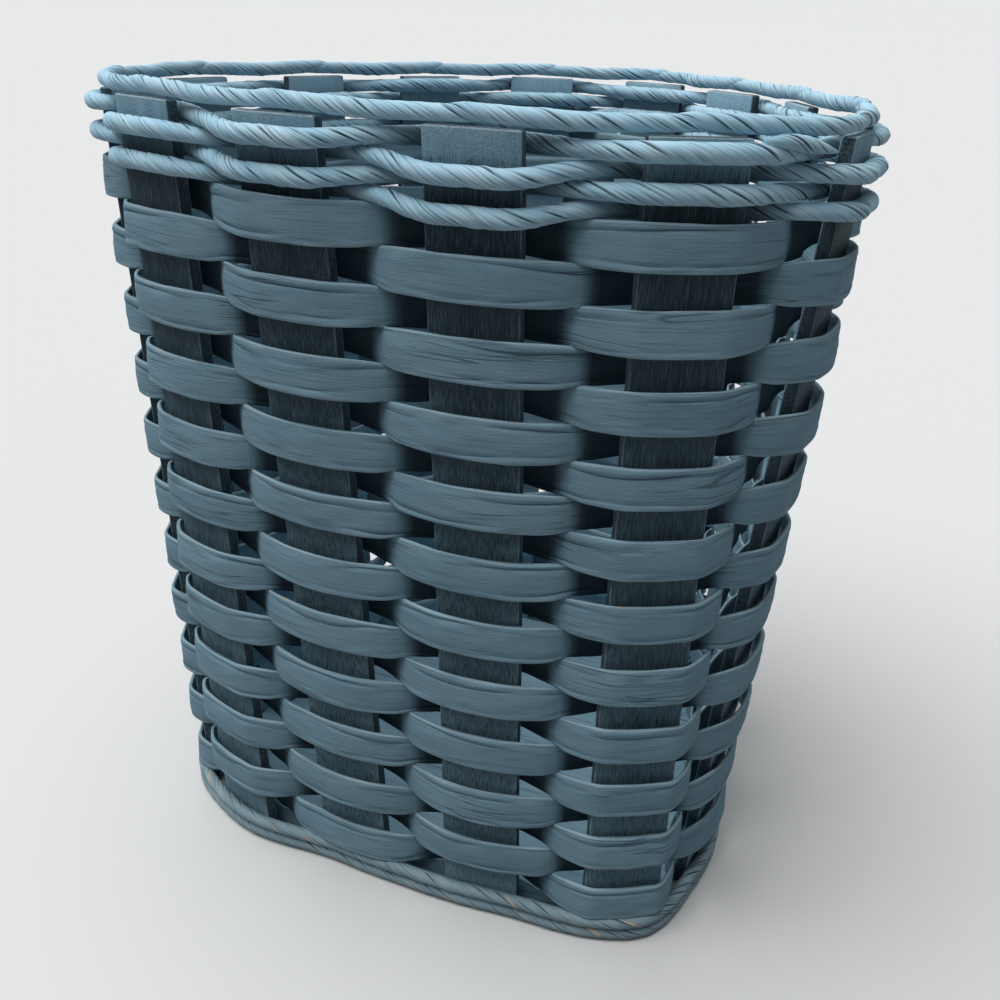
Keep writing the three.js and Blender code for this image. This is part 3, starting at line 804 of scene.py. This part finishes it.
def stake_piece(index, material):
    """A board with eased edges, worn at its ends and corners, with shade painted on its outer face where
    the weave covers it.
    """
    stake = stake_at(index)
    bottom = stake.foot[2]
    top = stake.top[2]
    levels = [bottom, bottom + BOARD_END_STEP, bottom + BOARD_EASE]
    count = round((top - bottom - 2 * BOARD_EASE) / BOARD_STEP)
    levels += list(np.linspace(bottom + BOARD_EASE, top - BOARD_EASE, count + 1)[1:])
    levels += [top - BOARD_END_STEP, top]
    end_shrinks = [BOARD_EASE * share for share in BOARD_END_SHRINKS]
    shrinks = end_shrinks + [0.0] * (len(levels) - 2 * len(end_shrinks)) + end_shrinks[::-1]
    levels = np.array(levels)
    wobble = wander(2 * (top - bottom), levels, *WOBBLE_WAVES) * BOARD_WOBBLE
    narrow = wander(2 * (top - bottom), levels, *NARROW_WAVES).clip(0, 1) * BOARD_NARROWING
    sections = []
    marks = {"wear": [], "dark_side": [], "recess": [], "inner": []}
    for level, shrink, shift, slim in zip(levels, shrinks, wobble, narrow):
        ring = board_ring(HALF_WIDTH - shrink - slim, WALL / 2 - shrink, BOARD_EASE)
        sections.append([stake.point(u + shift, v - WALL / 2, level) for u, v in ring])
        near_edge = 1.0 if shrink > 0 else 0.0
        corners = [CORNER_WEAR if k % 4 in (1, 2) else 0.0 for k in range(len(ring))]
        marks["wear"].append([max(near_edge, corner) for corner in corners])
        # Marks the narrow sides, which are darker
        marks["dark_side"].append([1.0 if k in SIDE_POINTS else 0.0 for k in range(len(ring))])
        # Painted shade on the outer face, strongest below the open top and gone at the foot
        covered = min(1.0, max(0.0, (top - level - OPEN_TOP) / OPEN_TOP))
        depth = TOP_PAINTED_SHADE * ((level - bottom) / (top - bottom)) ** SHADE_POWER
        marks["recess"].append([covered * (depth if v > 0 else 0.0) for u, v in ring])
        # Marks the inner faces, which are painted lighter as painted light
        marks["inner"].append([0.0 if v > 0 else 1.0 for u, v in ring])
    places = levels - bottom
    steps = np.linalg.norm(np.diff(np.vstack([ring, ring[:1]]), axis=0), axis=1)
    around = np.concatenate([[0], np.cumsum(steps)[:-1]])
    marks = {name: np.array(values)[:, ::-1] for name, values in marks.items()}
    sections = np.array(sections)[:, ::-1]
    skin = Skin()
    skin.add(sections, places, places[-1], around, False, **marks)
    piece = skin.build("board_%02d" % (index + 1), material, (0.0, BOARD_UV_STEP * index))
    hand_over(piece, "stake_wood", "stake_%02d" % (index + 1))


BASE_EASE = 0.6 * MM


def dress_cad_node(name, material, ease):
    """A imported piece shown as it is, with its own material and, if asked for, eased edges."""
    node = nodes[name]
    node.data.materials.clear()
    node.data.materials.append(material)
    if ease:
        bevel = node.modifiers.new("ease", "BEVEL")
        bevel.width = ease
        bevel.segments = 2
        bevel.limit_method = "ANGLE"


# Camera, floor and light

CAMERA_DISTANCE = 478.26 * MM
CAMERA_AZIMUTH = math.radians(21.869)
CAMERA_ELEVATION = math.radians(23.734)
CAMERA_ROLL = math.radians(2.189)
CAMERA_ASIDE = -1.26 * MM
CAMERA_TARGET_Z = 122.02 * MM
FOCAL_PIXELS = 1118.4
IMAGE_PIXELS = 1000
SENSOR_MM = 36


def add_camera():
    back = Vector((math.sin(CAMERA_AZIMUTH) * math.cos(CAMERA_ELEVATION),
                   -math.cos(CAMERA_AZIMUTH) * math.cos(CAMERA_ELEVATION), math.sin(CAMERA_ELEVATION)))
    level = Vector((math.cos(CAMERA_AZIMUTH), math.sin(CAMERA_AZIMUTH), 0))
    upright = back.cross(level)
    right = level * math.cos(CAMERA_ROLL) + upright * math.sin(CAMERA_ROLL)
    up = upright * math.cos(CAMERA_ROLL) - level * math.sin(CAMERA_ROLL)
    place = level * CAMERA_ASIDE + Vector((0, 0, CAMERA_TARGET_Z)) + back * CAMERA_DISTANCE
    data = bpy.data.cameras.new("camera")
    data.sensor_width = SENSOR_MM
    data.sensor_fit = "HORIZONTAL"
    data.lens = SENSOR_MM * FOCAL_PIXELS / IMAGE_PIXELS
    data.clip_start = 0.01
    camera = bpy.data.objects.new("camera", data)
    turn = Matrix((right, up, back)).transposed().to_4x4()
    camera.matrix_world = Matrix.Translation(place) @ turn
    bpy.context.scene.collection.objects.link(camera)
    bpy.context.scene.camera = camera


FLOOR_HALF = 40.0
FLOOR_SEEN = (0.72, 0.72, 0.715, 1)
FLOOR_BOUNCE = (0.20, 0.20, 0.20, 1)


def shown_rays(tree):
    """1 for rays that show the background: straight to the camera, in gloss or through glass."""
    rays = tree.nodes.new("ShaderNodeLightPath")
    clear = tree.nodes.new("ShaderNodeMath")
    clear.operation = "MAXIMUM"
    tree.links.new(rays.outputs["Is Glossy Ray"], clear.inputs[0])
    tree.links.new(rays.outputs["Is Transmission Ray"], clear.inputs[1])
    shown = tree.nodes.new("ShaderNodeMath")
    shown.operation = "MAXIMUM"
    tree.links.new(rays.outputs["Is Camera Ray"], shown.inputs[0])
    tree.links.new(clear.outputs[0], shown.inputs[1])
    return shown.outputs[0]


def add_floor():
    mesh = bpy.data.meshes.new("floor")
    corners = [(-FLOOR_HALF, -FLOOR_HALF, 0), (FLOOR_HALF, -FLOOR_HALF, 0),
               (FLOOR_HALF, FLOOR_HALF, 0), (-FLOOR_HALF, FLOOR_HALF, 0)]
    mesh.from_pydata(corners, [], [(0, 1, 2, 3)])
    shader = Shader("floor")
    colour = shader.mix(shown_rays(shader.tree), FLOOR_BOUNCE, FLOOR_SEEN)
    tone = shader.noise(shader.coordinates("Object", (300, 300, 300)), detail=2)
    mesh.materials.append(shader.finish(colour, 0.9, shader.bump(tone, 0.02, 0.1 * MM), 0.0))
    floor = bpy.data.objects.new("floor", mesh)
    bpy.context.scene.collection.objects.link(floor)


KEY_FROM = (-0.31, -0.14, 0.94)
KEY_STRENGTH = 3.2
KEY_ANGLE = math.radians(72)


def add_key_light():
    """A broad even light from above, a little to the front and left."""
    data = bpy.data.lights.new("key", "SUN")
    data.energy = KEY_STRENGTH
    data.angle = KEY_ANGLE
    light = bpy.data.objects.new("key", data)
    light.rotation_euler = (-Vector(KEY_FROM)).to_track_quat("-Z", "Y").to_euler()
    bpy.context.scene.collection.objects.link(light)


WORLD_LIGHT = 0.19
WORLD_TINT = (0.88, 0.94, 1.0, 1)
WORLD_SEEN = (0.807, 0.823, 0.823, 1)


def add_world():
    world = bpy.data.worlds.new("world")
    world.use_nodes = True
    tree = world.node_tree
    background = tree.nodes["Background"]
    background.inputs["Color"].default_value = WORLD_TINT
    background.inputs["Strength"].default_value = WORLD_LIGHT
    seen = tree.nodes.new("ShaderNodeBackground")
    seen.inputs["Color"].default_value = WORLD_SEEN
    mixed = tree.nodes.new("ShaderNodeMixShader")
    tree.links.new(shown_rays(tree), mixed.inputs[0])
    tree.links.new(background.outputs[0], mixed.inputs[1])
    tree.links.new(seen.outputs[0], mixed.inputs[2])
    tree.links.new(mixed.outputs[0], tree.nodes["World Output"].inputs["Surface"])
    bpy.context.scene.world = world


# The basket

fibre = strip_material()
cord = cord_material("painted_cord", CORD_PAINT_LIT, CORD_PAINT_PALE, 0.0)
foot_paint = cord_material("rubbed_cord", FOOT_PAINT, FOOT_PAINT_PALE, 0.12)
wood = stake_material()
for row in range(STRIP_COUNT):
    strip_piece(row, fibre)
for row in range(CORD_COUNT):
    woven_cord_piece(row, cord)
rim_piece(cord)
foot_piece(foot_paint)
steel = steel_material()
for index in range(STAKE_COUNT):
    stake_piece(index, wood)
    dress_cad_node("brad_%02d" % (index + 1), steel, 0)
dress_cad_node("base_board", base_material(), BASE_EASE)

add_camera()
add_floor()
add_world()
add_key_light()
bpy.context.scene.view_settings.view_transform = "Standard"
